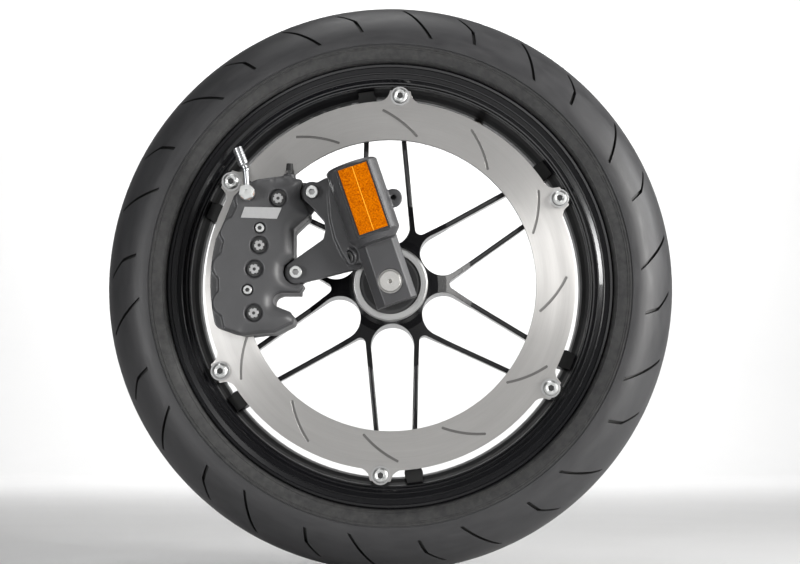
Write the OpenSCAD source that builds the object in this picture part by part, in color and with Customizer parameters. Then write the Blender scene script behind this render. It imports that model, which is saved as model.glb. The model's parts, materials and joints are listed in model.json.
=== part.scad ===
// Front wheel, perimeter disc brake and axle end of a sports motorcycle.
// Origin on the axle axis at the tyre's middle plane, +Z up, the wheel turns about Y.
// Each sub-part is drawn facing the brake side: x forward, y up, z outward (world -Y).

/* [Wheel] */
// Outer radius of the inflated tyre
tyre_r = 299.5; // [292:306]
// Half of the tyre's section width
tyre_half_w = 60; // [58:62]
// Radius of the tyre shoulder, where tread meets sidewall
shoulder_r = 252; // [250:254]
// Radius of the rim's bead seat, 17 inch
bead_r = 218.3; // [217:219]
// Radius at the top of the rim flange
flange_r = 232.3; // [231:233]
// Half of the distance between the rim flanges, 3.50 inch rim
rim_half_w = 44.45; // [44:45]
// Inner radius of the rim well, seen between the spokes
well_r = 201.2; // [200:202]
// Phase of the first spoke arm
wheel_phase = 2.05; // [0:5]
// Thickness of a spoke in the plane of the wheel
spoke_t = 5.2; // [4.5:6]
// Brake side of the spokes, from the middle plane
spoke_front = 11; // [10:11.4]
// Far side of the spokes, from the middle plane
spoke_back = 14; // [12:16]

/* [Hub] */
// Half of the hub barrel's length
hub_half = 63; // [61:65]
// Outer radius of the machined hub face
hub_face_r = 37.4; // [36.5:38]
// Outer radius of the hub barrel
hub_r = 39; // [38.5:39.6]
// Radius of the dust seal seat
seal_r = 31.5; // [31:32]
// Outer radius of the wheel bearing
bearing_r = 26; // [25.9:26.1]

/* [Brake] */
// Outer radius of the brake rotor band
rotor_r = 193; // [191:194]
// Inner radius of the brake rotor band
rotor_in = 152.2; // [151:153]
// Rotor thickness
rotor_t = 5.6; // [5:6]
// Distance of the rotor's middle plane from the wheel's middle plane
rotor_d = 45; // [44.5:45.5]
// Pitch radius of the six rotor bolts
bolt_pitch = 198; // [197.5:198.5]
// Radius of one caliper piston
piston_r = 12.5; // [12:12.6]
// Outward face of the caliper's outer half
caliper_face = 88; // [86:89]
// Farthest reach of the caliper from the axle
caliper_r = 184.3; // [183:185]

/* [Fork end] */
// Rake of the fork tube from vertical
fork_tilt = 18.7; // [16:21]
// Distance of the fork tube's axis from the middle plane
fork_d = 100; // [99:101]
// Radius of the fork tube socket
socket_r = 21.5; // [21:22]
// Height of the socket's mouth above the axle, along the tube
socket_top = 125; // [122:130]
// Radius of the axle
axle_r = 12.45; // [12.4:12.48]

/* [Hidden] */
$fn = 96;
well_outer_r = 207;
rim_inside = [[well_r, 10], [202.6, 17], [206, 26], [208.4, 34], [208.8, 40.8]];
arms = 6;
arm_step = 360 / arms;
slot_phase = wheel_phase + arm_step / 2;
bolt_phase = wheel_phase + 25;
blank_phase = wheel_phase + 35.05;

// spokes and the hub spider
slot_u = 63.5;            // centre of a slot's rounded inner end
slot_end_r = 22.8;        // radius of that end
slot_half_in = slot_end_r + spoke_t / 2;
rim_half = 17.6;          // half distance of a spoke pair at rim_u
rim_u = 199.2;
spoke_run = rim_u - slot_u;
spoke_lean = atan2(rim_half - slot_half_in, spoke_run);
vee_round = 5.8;
spider_r = 88;            // outside this radius a spoke is a plain bar
boss_r = 9.6;             // post at a spoke's outer end

// rotor stack, measured along the axle
rotor_back = rotor_d - rotor_t / 2;
rotor_front = rotor_d + rotor_t / 2;
boss_top = rotor_back - 0.7;
bobbin_r = 8;
bobbin_flange_r = 10;
bobbin_top = rotor_front + 2.6;
ear_gap = 0.08;
m8_r = 4;

// brake pads and pistons, measured from the rotor's middle plane
pad_gap = 0.5;            // each side, brake released
lining_t = 4;
backing_t = 4;
push_back = 2;            // the most a pad is pushed back for a new lining
pad_back = rotor_t / 2 + pad_gap + lining_t + backing_t;
piston_l = 13;
pocket_room = 1;          // left behind a pad that is pushed right back
pocket_d = pad_back + push_back + pocket_room;
bore_d = pad_back + piston_l + push_back + 0.5;
piston_pitch = 168;
piston_a = [149.5, 162, 174.6, 187.2];
piston_fit = 0.05;
pad_in = 156;
pad_out = 181.5;
pad_a0 = 143.5;
pad_a1 = 193.2;
inner_face = spoke_front + 2.5;
bridge_r = 149.2;         // the halves meet inside this radius, under the rotor's bore
slot_half = 5.2;          // half width of the slot the rotor runs in
bridge_bolts = [[-114.9, 85.9], [-134, 37.7], [-138.9, 13.2], [-139.3, -31.8]];
pad_pins = [[-133.4, 55.3], [-145.7, -8.2]];
pin_r = 2.5;
pin_fit = 0.08;
upper_lug = [-80.6, 93.2];
lower_lug = [-97, 10.6];
lug_back = 60;            // the caliper's ears end and the foot's lugs begin here
lug_front = 74;
ear_r = 12.5;
hose_port = [-145.7, 90.4];
bleed_port = [-104, 100, 70];
bolt_seat_drop = 6;       // bridge bolt heads sit this far below the caliper's face
pin_seat_drop = 3.6;
bolt_sink_r = 9.4;        // counterbore over a bridge bolt
pin_sink_r = 5.8;
layer_d = caliper_face - bolt_seat_drop;

// fork end
foot_in = 72;             // inner face, against the axle spacer
foot_out = 98;            // outer face, flush with the axle's end
foot_half_w = 21.5;
foot_bottom = 22.8;
tube_r = 27;
tube_low = 50;
socket_floor = 62;
reflector_u = 85;
pad_face = 127.4;
spacer_r = 17;
axle_fit = 0.05;

// bearings
race_d = 45.5;            // middle of a bearing
race_half = 7.5;
ball_pitch = 19.75;
ball_r = 3.97;
balls = 9;

// ---------- shared helpers ----------

module facing() { rotate([90, 0, 0]) children(); }

// a straight piece of profile or solid from depth a to depth b
module slab(a, b) { translate([0, 0, a]) linear_extrude(b - a) children(); }

module at(p) { translate([p[0], p[1], 0]) children(); }

module ring_of(n, phase) { for (k = [0:n - 1]) rotate([0, 0, phase + k * 360 / n]) children(); }

module tube(r_out, r_in, a, b) { slab(a, b) difference() { circle(r_out); circle(r_in); } }

module wedge(a0, a1) {
    far = 400;
    mid = (a0 + a1) / 2;
    polygon([[0, 0], [far * cos(a0), far * sin(a0)], [far * cos(mid), far * sin(mid)],
        [far * cos(a1), far * sin(a1)]]);
}

module sector(r_in, r_out, a0, a1) {
    intersection() {
        difference() { circle(r_out); circle(r_in); }
        wedge(a0, a1);
    }
}

// fork frame: x across the tube, y up along the tube, z outward
module fork_frame() { rotate([0, 0, fork_tilt]) children(); }

// cylinder along the fork tube from height a to height b, centred at depth d
module along_tube(r1, r2, a, b, d) {
    translate([0, a, d]) rotate([-90, 0, 0]) cylinder(h = b - a, r1 = r1, r2 = r2);
}

module hex(af) { circle(af / sqrt(3), $fn = 6); }

// socket screw: head from depth a to b, shank down to c
module socket_screw(head_r, a, b, c, shank_r, key) {
    difference() {
        union() {
            slab(a, b - 0.7) circle(head_r);
            translate([0, 0, b - 0.7]) cylinder(h = 0.7, r1 = head_r, r2 = head_r - 0.7);
            slab(c, a) circle(shank_r);
        }
        slab(b - (b - a) * 0.6, b + 1) hex(key);
    }
}

// ---------- tyre and wheel ----------

function arc_pts(r0, rise, w, n) =
    [for (i = [0:n]) let (t = 180 * i / n) [r0 + rise * sin(t), w * cos(t)]];

module tyre() {
    crown = tyre_r - shoulder_r;
    wall = 9;
    inner_w = tyre_half_w - 6;
    // the bead lies on the rim's seat, then turns out just clear of the flange
    foot = [[bead_r, rim_half_w], [flange_r - 3.4, rim_half_w], [flange_r - 1.15, rim_half_w + 0.45],
        [flange_r + 0.1, rim_half_w + 2.1], [flange_r + 0.1, 50.2], [flange_r + 1.4, 53],
        [236, 55.6], [243, 58.6], [248, 59.7]];
    outer = arc_pts(shoulder_r, crown, tyre_half_w, 36);
    inner = arc_pts(shoulder_r - wall, crown, inner_w, 24);
    color([0.13, 0.13, 0.135]) facing() difference() {
        rotate_extrude($fn = 180) polygon(concat(
            foot, outer, [for (i = [len(foot) - 1 : -1 : 0]) [foot[i][0], -foot[i][1]]]));
        rotate_extrude($fn = 180) polygon(concat(
            [[bead_r - 3, 30.6], [224, 34.6], [232, 40.5], [238, 48]], inner,
            [[238, -48], [232, -40.5], [224, -34.6], [bead_r - 3, -30.6]]));
    }
}

module rim_profile() {
    side = concat(rim_inside, [[209.3, 42.4], [210.4, 42.4], [211.2, 43.4], [211.8, 45],
        [213, 45], [215.4, 47.2], [216.1, 48.3], [216.9, 48.3], [217.6, 47.6], [221.2, 49],
        [221.8, 50], [222.6, 50], [223.2, 49.3], [227.8, 50.3], [228.6, 51.4], [230.8, 51.4],
        [flange_r, 50], [flange_r, 46.6], [flange_r - 1.2, 45], [flange_r - 3.4, rim_half_w],
        [bead_r, rim_half_w], [bead_r, 31], [bead_r + 0.9, 29], [216, 26],
        [well_outer_r, 14]]);
    n = len(side);
    polygon(concat(side, [for (i = [n - 1:-1:0]) [side[i][0], -side[i][1]]]));
}

module wheel_rim() {
    color([0.045, 0.045, 0.05]) facing() difference() {
        rotate_extrude($fn = 180) rim_profile();
        valve_frame() translate([0, 0, -10]) cylinder(h = 50, r = 4.1);
    }
}

// boss at a spoke's outer end: a round post blended outward into the rim wall
module spoke_boss(top) {
    neck = 8.4;
    low = -spoke_back - 4;
    reach = 16;
    intersection() {
        union() {
            translate([bolt_pitch, 0, low]) cylinder(h = top - low, r = boss_r);
            translate([bolt_pitch, -neck, low]) cube([reach, 2 * neck, top - low]);
        }
        rotate([0, 0, 90]) rim_interior();
    }
}

// everything inside the rim's inner surface, where bosses may be
module rim_interior() {
    rotate_extrude($fn = 180) polygon(concat(
        [for (i = [2:-1:0]) [rim_inside[i][0], -rim_inside[i][1]]], rim_inside,
        [[208.8, 43], [spider_r, 43], [spider_r, -26]]));
}

module rim_bosses() {
    blank_top = 30;
    color([0.045, 0.045, 0.05]) facing() {
        ring_of(arms, bolt_phase) difference() {
            spoke_boss(boss_top);
            translate([bolt_pitch, 0, 20]) cylinder(h = boss_top, r = m8_r);
        }
        ring_of(arms, blank_phase) spoke_boss(blank_top);
    }
}

module wheel_spokes() {
    round_r = 1.6;
    color([0.045, 0.045, 0.05]) facing()
        ring_of(arms, slot_phase) for (side = [-1, 1]) difference() {
            translate([slot_u, side * slot_half_in, 0]) rotate([0, 0, side * spoke_lean])
                rotate([90, 0, 90]) translate([0, 0, 10]) linear_extrude(spoke_run - 16)
                    spoke_section(round_r);
            translate([0, 0, -60]) cylinder(h = 120, r = spider_r);
            rotate([0, 0, side * (blank_phase - bolt_phase) / 2]) translate([bolt_pitch, 0, -60])
                cylinder(h = 120, r = boss_r);
        }
}

// cross-section of a spoke with rounded edges: x across, y outward
module spoke_section(round_r) {
    w = spoke_t / 2;
    union() {
        translate([-w, -spoke_back + round_r]) square([2 * w, spoke_front + spoke_back - 2 * round_r]);
        translate([-w + round_r, -spoke_back]) square([2 * (w - round_r), spoke_front + spoke_back]);
        for (sx = [-1, 1]) for (y = [-spoke_back + round_r, spoke_front - round_r])
            translate([sx * (w - round_r), y]) circle(round_r, $fn = 24);
    }
}

module spider_outline() {
    reach = 34;
    inner_edge = slot_half_in - spoke_t / 2;
    difference() {
        circle(spider_r);
        ring_of(arms, slot_phase) {
            translate([slot_u, 0]) circle(slot_end_r);
            polygon([[slot_u, -inner_edge], [slot_u + reach, -inner_edge - reach * tan(spoke_lean)],
                [slot_u + reach, inner_edge + reach * tan(spoke_lean)], [slot_u, inner_edge]]);
        }
        ring_of(arms, wheel_phase) vee_gap();
    }
}

// the wide gap between two spoke pairs, its tip rounded
module vee_gap() {
    half_a = arm_step / 2 - spoke_lean;
    edge = slot_half_in + spoke_t / 2;
    // a point on the neighbouring spoke's edge, seen along the arm, then where that edge meets the arm
    px = slot_u * cos(arm_step / 2) + edge * sin(arm_step / 2);
    py = slot_u * sin(arm_step / 2) - edge * cos(arm_step / 2);
    centre = px - py / tan(half_a) + vee_round / sin(half_a);
    far = 60;
    tx = centre - vee_round * sin(half_a);
    ty = vee_round * cos(half_a);
    translate([centre, 0]) circle(vee_round);
    polygon([[centre, 0], [tx, ty], [tx + far * cos(half_a), ty + far * sin(half_a)],
        [tx + far * cos(half_a), -ty - far * sin(half_a)], [tx, -ty]]);
}

module wheel_hub() {
    flare = [[0, hub_half], [hub_face_r, hub_half], [hub_r, hub_half - 1.6], [hub_r + 0.4, 50],
        [43, 42], [50, 34.5], [59, 28], [69, 21.5], [79, 15], [spider_r, spoke_front],
        [spider_r + 2, spoke_front], [spider_r + 2, -spoke_back], [spider_r, -spoke_back],
        [79, -17.5], [69, -22.5], [59, -28], [50, -34.5], [43, -42],
        [hub_r + 0.4, -50], [hub_r, -hub_half + 1.6], [hub_face_r, -hub_half], [0, -hub_half]];
    color([0.05, 0.05, 0.055]) facing() difference() {
        intersection() {
            slab(-hub_half - 1, hub_half + 1) union() { spider_outline(); circle(hub_r); }
            rotate_extrude() polygon(flare);
        }
        slab(-hub_half - 1, hub_half + 1) circle(bearing_r - 4);
        slab(race_d - race_half, hub_half) circle(bearing_r);
        slab(-hub_half, -race_d + race_half) circle(bearing_r);
        slab(race_d + race_half + 1.5, hub_half + 1) circle(seal_r);
        slab(-hub_half - 1, -race_d - race_half - 1.5) circle(seal_r);
    }
}

// ---------- rotor ----------

// what is cut away between two neighbouring ears of the rotor
module between_ears() {
    flank = [[191.4, 20.5], [193.9, 16], [197, 13], [200.5, 11.6], [203.4, 10.9], [206, 8.4]];
    last = len(flank) - 1;
    step = 360 / arms;
    beyond = 225;
    next = [for (i = [last : -1 : 0]) let (x = flank[i][0], y = -flank[i][1])
        [x * cos(step) - y * sin(step), x * sin(step) + y * cos(step)]];
    outer = [for (a = [8 : 11 : 52]) beyond * [cos(a), sin(a)]];
    difference() {
        translate([0, 0, rotor_back - 1]) linear_extrude(rotor_t + 2)
            polygon(concat(flank, outer, next));
        translate([0, 0, rotor_back - 2]) cylinder(h = rotor_t + 4, r = rotor_r);
    }
}

module brake_rotor() {
    groove_in = 158.5;
    groove_out = 183.2;
    sweep = 12.2;
    groove_w = 2.8;
    groove_h = 1;
    grooves = 12;
    first = 2.25;
    edge_overlap = 0.05;
    slot_r = bobbin_r + ear_gap;
    start = [groove_in * cos(-sweep), groove_in * sin(-sweep)];
    way = [groove_out - start[0], -start[1]];
    len_g = norm(way);
    // each groove is an arc that bulges outward from its chord
    bulge = 2.2;
    bend_r = (len_g * len_g / 4 + bulge * bulge) / (2 * bulge);
    half_a = asin(len_g / 2 / bend_r);
    half_w = groove_w / 2 - edge_overlap;
    ear_tip_r = 204.4;
    color([0.72, 0.72, 0.71]) facing() difference() {
        translate([0, 0, rotor_back]) cylinder(h = rotor_t, r = ear_tip_r);
        translate([0, 0, rotor_back - 1]) cylinder(h = rotor_t + 2, r = rotor_in);
        ring_of(arms, bolt_phase) {
            between_ears();
            translate([bolt_pitch, 0, rotor_back - 1]) cylinder(h = rotor_t + 2, r = slot_r);
            translate([bolt_pitch, -slot_r + edge_overlap, rotor_back - 1])
                cube([20, 2 * (slot_r - edge_overlap), rotor_t + 2]);
        }
        ring_of(grooves, first) translate([start[0], start[1], rotor_front - groove_h])
            rotate([0, 0, atan2(way[1], way[0])]) {
                translate([len_g / 2, bend_r - bulge, 0]) linear_extrude(2)
                    sector(bend_r - half_w, bend_r + half_w, 270 - half_a, 270 + half_a);
                cylinder(h = 2, r = groove_w / 2);
                translate([len_g, 0, 0]) cylinder(h = 2, r = groove_w / 2);
            }
    }
}

module rotor_bobbins() {
    flange_d = rotor_front + 0.65;
    color([0.6, 0.6, 0.6]) facing() ring_of(arms, bolt_phase) translate([bolt_pitch, 0, 0]) {
        tube(bobbin_r, m8_r + 0.1, boss_top, flange_d);
        tube(bobbin_flange_r, m8_r + 0.1, flange_d, bobbin_top);
    }
}

module rotor_wave_washers() {
    color([0.5, 0.5, 0.5]) facing() ring_of(arms, bolt_phase) translate([bolt_pitch, 0, 0])
        tube(9.6, bobbin_r + 0.05, rotor_front + 0.05, rotor_front + 0.6);
}

module rotor_bolts() {
    head_r = 7.8;
    top = bobbin_top + 5.4;
    color([0.75, 0.76, 0.76]) facing() ring_of(arms, bolt_phase) translate([bolt_pitch, 0, 0])
        difference() {
            union() {
                slab(bobbin_top, top - 1.6) circle(head_r);
                translate([0, 0, top - 1.6]) cylinder(h = 1.6, r1 = head_r, r2 = head_r - 1.8);
                slab(22, bobbin_top) circle(m8_r);
            }
            slab(top - 3.4, top + 1) hex(6);
            translate([0, 0, top - 0.8]) cylinder(h = 2, r1 = 3.6, r2 = 6.2);
        }
}

// ---------- bearings, seals, axle ----------

module race_outer() {
    color([0.62, 0.62, 0.63]) facing() rotate_extrude() difference() {
        translate([23, race_d - race_half]) square([bearing_r - 23, 2 * race_half]);
        translate([ball_pitch, race_d]) circle(ball_r + 0.06, $fn = 48);
    }
}

module race_inner() {
    color([0.62, 0.62, 0.63]) facing() rotate_extrude() difference() {
        translate([axle_r + axle_fit, race_d - race_half])
            square([16.5 - axle_r - axle_fit, 2 * race_half]);
        translate([ball_pitch, race_d]) circle(ball_r + 0.06, $fn = 48);
    }
}

module ball_set() {
    color([0.7, 0.7, 0.7]) facing() {
        ring_of(balls, 0) translate([ball_pitch, 0, race_d]) sphere(ball_r, $fn = 48);
        difference() {
            tube(20.8, 18.7, race_d - 5, race_d + 5);
            ring_of(balls, 0) translate([ball_pitch, 0, race_d]) rotate([0, 90, 0])
                cylinder(h = 6, r = ball_r + 0.06, center = true);
        }
    }
}

module seal_ring() {
    color([0.09, 0.09, 0.09]) facing() rotate_extrude() polygon([
        [spacer_r + 0.1, 56], [21, 54.6], [seal_r, 54.6], [seal_r, 61.6], [28, 62],
        [22, 60.6], [20, 61.4], [spacer_r + 0.1, 58.4]]);
}

module far_side() { mirror([0, 1, 0]) children(); }

module bearing_outer_near() { race_outer(); }
module bearing_outer_far() { far_side() race_outer(); }
module bearing_inner_near() { race_inner(); }
module bearing_inner_far() { far_side() race_inner(); }
module bearing_balls_near() { ball_set(); }
module bearing_balls_far() { far_side() ball_set(); }
module dust_seal_near() { seal_ring(); }
module dust_seal_far() { far_side() seal_ring(); }

module spacer() {
    color([0.35, 0.35, 0.36]) facing() rotate_extrude() polygon([
        [axle_r + axle_fit, race_d + race_half], [spacer_r, race_d + race_half], [spacer_r, 68],
        [19.5, 70], [19.5, foot_in], [axle_r + axle_fit, foot_in]]);
}
module axle_spacer_near() { spacer(); }
module axle_spacer_far() { far_side() spacer(); }

module bearing_spacer() {
    color([0.55, 0.56, 0.57]) facing()
        tube(15.8, axle_r + axle_fit, race_half - race_d, race_d - race_half);
}

module axle() {
    tip_r = 10.9;
    head_r = 17;
    head_t = 6;
    color([0.78, 0.78, 0.77]) facing() difference() {
        union() {
            slab(-foot_out, foot_out - 4) circle(axle_r);
            slab(foot_out - 4, foot_out - 0.8) circle(tip_r);
            translate([0, 0, foot_out - 0.8]) cylinder(h = 0.8, r1 = tip_r, r2 = tip_r - 0.8);
            slab(-foot_out - head_t, -foot_out) circle(head_r);
        }
        slab(-foot_out - head_t - 1, foot_out - 24) circle(7);
        slab(-foot_out - head_t - 1, -foot_out - head_t + 12) hex(19);
        translate([0, 0, foot_out - 3]) cylinder(h = 3.2, r1 = 0.4, r2 = 2.2);
    }
}

// ---------- fork ends ----------

// cross-section of the foot below the tube: x across the tube, y outward
module foot_section() {
    polygon([[-foot_half_w, foot_in], [foot_half_w, foot_in], [foot_half_w, foot_out - 8],
        [15.3, foot_out], [-12.8, foot_out], [-foot_half_w, foot_out - 9.5]]);
}

module foot_block() {
    fork_frame() {
        translate([0, 56, 0]) rotate([90, 0, 0]) linear_extrude(56 + foot_bottom) foot_section();
        along_tube(20, tube_r, tube_low - 8, tube_low, fork_d);
        along_tube(tube_r, tube_r, tube_low, socket_top - 2, fork_d);
        along_tube(tube_r, tube_r - 2, socket_top - 2, socket_top, fork_d);
        translate([-17.6, reflector_u - 36.6, fork_d]) cube([35.2, 73.2, pad_face - fork_d]);
    }
}

module socket_cut() {
    fork_frame() along_tube(socket_r, socket_r, socket_floor, socket_top + 1, fork_d);
}

module fork_foot_near() {
    fender_lug = [30, 79];
    color([0.16, 0.16, 0.165]) facing() difference() {
        union() {
            foot_block();
            // lugs that carry the caliper, reaching back from the foot
            slab(lug_back, lug_front) {
                at(upper_lug) circle(ear_r - 1);
                at(lower_lug) circle(ear_r - 0.6);
                polygon([[-30, 15.2], [-33, 14.5], [lower_lug[0] + 2.4, lower_lug[1] - 11.6],
                    [-103, 20.8], [-97, 25], [-69, 45], [-67, 54], [-68, 63.5], [-80, 77],
                    [-91.2, 88.2], [-86.5, 103], [-75, 104.2], [-66, 108.8], [-48, 109], [-30, 70]]);
            }
            slab(lug_front - 1, 88) polygon([[-28, 20], [-42, 17], [-50, 30], [-57, 45], [-62, 66],
                [-64, 92], [-60, 107], [-46, 109], [-30, 66]]);
            fork_frame() at(fender_lug) slab(92, 106) circle(9);
            fork_frame() translate([20, 70, 93]) cube([10, 18, 12]);
            foot_boss() slab(-10, 8) circle(9.6);
        }
        socket_cut();
        // room for the hub's end to turn behind the lugs
        slab(lug_back - 1, hub_half + 0.6) circle(hub_r + 1);
        slab(foot_in - 1, foot_out + 1) circle(axle_r + axle_fit);
        for (p = [upper_lug, lower_lug]) at(p) slab(lug_back - 1, lug_front + 1) circle(m8_r + 0.25);
        fork_frame() at(fender_lug) slab(96, 107) circle(2.5);
        foot_boss() {
            slab(1, 9) circle(7);
            slab(-9, 2) circle(m8_r);
        }
    }
}

// the boss on the foot's back edge, turned away from straight outward
module foot_boss() {
    fork_frame() translate([-26, 37.7, 80]) rotate([0, -48, 0]) children();
}

module foot_bolt_near() {
    color([0.3, 0.3, 0.31]) facing() foot_boss() socket_screw(6.5, 1, 8.9, -8.6, m8_r, 6);
}

module fork_foot_far() {
    color([0.16, 0.16, 0.165]) far_side() facing() difference() {
        foot_block();
        socket_cut();
        slab(foot_in - 1, foot_out + 1) circle(axle_r + axle_fit);
        fork_frame() translate([-1, -foot_bottom - 1, foot_in - 1]) cube([2, 14, foot_out - foot_in + 2]);
        fork_frame() for (d = [78, 90]) translate([0, -17.6, d]) rotate([0, 90, 0]) {
            translate([0, 0, -foot_half_w - 1]) cylinder(h = 2 * foot_half_w + 2, r = 2.5, $fn = 48);
            translate([0, 0, foot_half_w - 5]) cylinder(h = 8, r = 4.6, $fn = 48);
        }
    }
}

module pinch_bolts_far() {
    color([0.7, 0.7, 0.7]) far_side() facing() fork_frame() for (d = [78, 90])
        translate([0, -17.6, d]) rotate([0, 90, 0])
            socket_screw(4.3, foot_half_w - 5, foot_half_w - 0.6, 2 - foot_half_w, 2.5, 4);
}

module reflector_pair() {
    children();
    far_side() children();
}

module reflector_bases() {
    color([0.05, 0.05, 0.05]) reflector_pair() facing() fork_frame() translate([0, reflector_u, 0])
        difference() {
            translate([-16.8, -35.8, pad_face]) cube([33.6, 71.6, 3]);
            translate([-15.2, -34.2, pad_face + 1.2]) cube([30.4, 68.4, 3]);
        }
}

module reflector_lenses() {
    rows = 17;
    color([1, 0.42, 0.02]) reflector_pair() facing() fork_frame() translate([0, reflector_u, 0])
        union() {
            translate([-15, -34, pad_face + 1.2]) cube([30, 68, 2.6]);
            for (i = [0:rows - 1]) translate([-14.6, -33.6 + i * 67.2 / rows, pad_face + 3.8])
                cube([29.2, 67.2 / rows - 0.5, 0.35]);
        }
}

// ---------- caliper ----------

module caliper_outline() {
    intersection() {
        circle(caliper_r);
        difference() {
            union() {
                polygon([[-170, 64], [-160.5, 89], [-150, 100], [-137.2, 106], [-110.1, 109.9],
                    [-91.5, 106], [-88, 101], [-82.8, 72], [-84, 69], [-99, 54.7], [-99, 24.9],
                    [-93, 0], [-88, -3.6], [-92.5, -10.7], [-112.6, -10.7], [-119.5, -19],
                    [-113, -27.4], [-100.9, -32.2], [-98, -37.4], [-99.6, -42.6], [-117.8, -51.6],
                    [-130.8, -52.4], [-150.3, -55], [-160, -52.6], [-176, -47], [-190, -30], [-190, 20]]);
                at(lower_lug) circle(ear_r);
            }
            translate([-112.4, -19.2]) circle(7.8);
        }
    }
}

module piston_bosses(r) {
    for (a = piston_a) rotate(a) translate([piston_pitch, 0]) circle(r);
}

// space the pads and their guide ears move in
module pad_pocket(grow) {
    sector(pad_in - grow - 1.7, 190, pad_a0 - grow, pad_a1 + grow);
    for (p = pad_pins) rotate(atan2(p[1], p[0])) translate([norm(p) - 6.5 - grow, -5.5 - grow])
        square([pad_in + 10 - norm(p), 11 + 2 * grow]);
}

module lug_clearance(grow) {
    at(upper_lug) circle(ear_r - 1 + grow);
    at(lower_lug) circle(ear_r - 0.6 + grow);
    polygon([[-40, 8 - grow], [lower_lug[0] + 1, lower_lug[1] - 12 - grow],
        [lower_lug[0] - 12 - grow, lower_lug[1] + 6], [-98.6 - grow, 26], [-74, 48], [-84 - grow, 74],
        [-92.4 - grow, 87.6], [-90 - grow, 104], [-86, 106 + grow], [-40, 108]]);
}

module caliper_holes() {
    for (p = bridge_bolts) at(p) slab(0, caliper_face + 1) circle(m8_r);
    for (p = pad_pins) at(p) slab(0, caliper_face + 1) circle(pin_r);
}

module caliper_outer() {
    // the raised outward face: the outline drawn in toward its own middle, rounded over the pistons
    crown_inset = 0.03;
    crown_centre = [-135, 28];
    crown_r = 175.5;
    color([0.2, 0.2, 0.205]) facing() difference() {
        union() {
            slab(rotor_d, layer_d) caliper_outline();
            slab(layer_d, caliper_face) intersection() {
                at(crown_inset * crown_centre) scale(1 - crown_inset) caliper_outline();
                union() { circle(crown_r); piston_bosses(piston_r + 1.7); }
            }
            for (p = [upper_lug, lower_lug]) at(p) slab(rotor_d + 1, lug_back) circle(ear_r);
            slab(rotor_d + 1, lug_back)
                polygon([[-96, 105], [-80, 105.6], [-69.6, 90], [-84, 70], [-100, 80]]);
            at(hose_port) slab(caliper_face - 2, caliper_face + 1.8) circle(9.4);
            translate(bleed_port) rotate([-90, 0, 0]) cylinder(h = 13, r = 6.4);
        }
        // the rotor's slot and the pad pocket
        slab(rotor_d - 1, rotor_d + slot_half) difference() { circle(230); circle(bridge_r); }
        slab(rotor_d - 1, rotor_d + pocket_d) pad_pocket(0.6);
        slab(rotor_d, rotor_d + bore_d) piston_bosses(piston_r + piston_fit);
        caliper_holes();
        for (p = bridge_bolts) at(p) slab(layer_d, caliper_face + 1) circle(bolt_sink_r);
        for (p = pad_pins) at(p) slab(caliper_face - pin_seat_drop, caliper_face + 1) circle(pin_sink_r);
        for (p = [upper_lug, lower_lug]) at(p) slab(rotor_d - 1, lug_back + 1) circle(m8_r);
        slab(lug_back, caliper_face + 2) lug_clearance(0.8);
        at(hose_port) slab(caliper_face - 10, caliper_face + 3) circle(5);
        translate(bleed_port) rotate([-90, 0, 0]) cylinder(h = 14, r = 3);
        seal_grooves(1);
    }
}

module caliper_inner() {
    color([0.2, 0.2, 0.205]) facing() difference() {
        slab(inner_face, rotor_d) difference() { caliper_outline(); circle(93); }
        slab(rotor_d - slot_half, rotor_d + 1) difference() { circle(230); circle(bridge_r); }
        slab(rotor_d - pocket_d, rotor_d + 1) pad_pocket(0.6);
        slab(rotor_d - bore_d, rotor_d + 1) piston_bosses(piston_r + piston_fit);
        for (p = bridge_bolts) at(p) slab(inner_face + 4, rotor_d + 1) circle(m8_r);
        for (p = pad_pins) at(p) slab(inner_face + 4, rotor_d + 1) circle(pin_r);
        seal_grooves(-1);
    }
}

// one square-section seal groove per piston, side = 1 outer half, -1 inner half
module seal_grooves(side) {
    mid = rotor_d + side * (pocket_d + 4);
    for (a = piston_a) rotate([0, 0, a]) translate([piston_pitch, 0, 0])
        slab(mid - 1.1, mid + 1.1) circle(piston_r + 2);
}

module piston_seals() {
    color([0.1, 0.1, 0.1]) facing() for (side = [-1, 1]) {
        mid = rotor_d + side * (pocket_d + 4);
        for (a = piston_a) rotate([0, 0, a]) translate([piston_pitch, 0, 0])
            tube(piston_r + 1.95, piston_r + 0.03, mid - 1.05, mid + 1.05);
    }
}

module piston_row(side) {
    face = rotor_d + side * pad_back;
    rear = rotor_d + side * (pad_back + piston_l);
    color([0.7, 0.7, 0.69]) facing() for (a = piston_a)
        rotate([0, 0, a]) translate([piston_pitch, 0, 0]) difference() {
            slab(min(face, rear), max(face, rear)) circle(piston_r);
            slab(side > 0 ? face - 1 : rear + 4, side > 0 ? rear - 4 : face + 1) circle(piston_r - 3);
        }
}
module pistons_outer() { piston_row(1); }
module pistons_inner() { piston_row(-1); }

module pad_backing(side) {
    near = rotor_d + side * (rotor_t / 2 + pad_gap + lining_t);
    rear = rotor_d + side * pad_back;
    color([0.25, 0.25, 0.25]) facing() difference() {
        slab(min(near, rear), max(near, rear)) {
            sector(pad_in, pad_out, pad_a0, pad_a1);
            for (p = pad_pins) rotate(atan2(p[1], p[0])) translate([norm(p) - 6, -5])
                square([pad_in + 8 - norm(p), 10]);
        }
        for (p = pad_pins) at(p) slab(0, 100) circle(pin_r + pin_fit);
    }
}
module pad_backing_outer() { pad_backing(1); }
module pad_backing_inner() { pad_backing(-1); }

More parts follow.
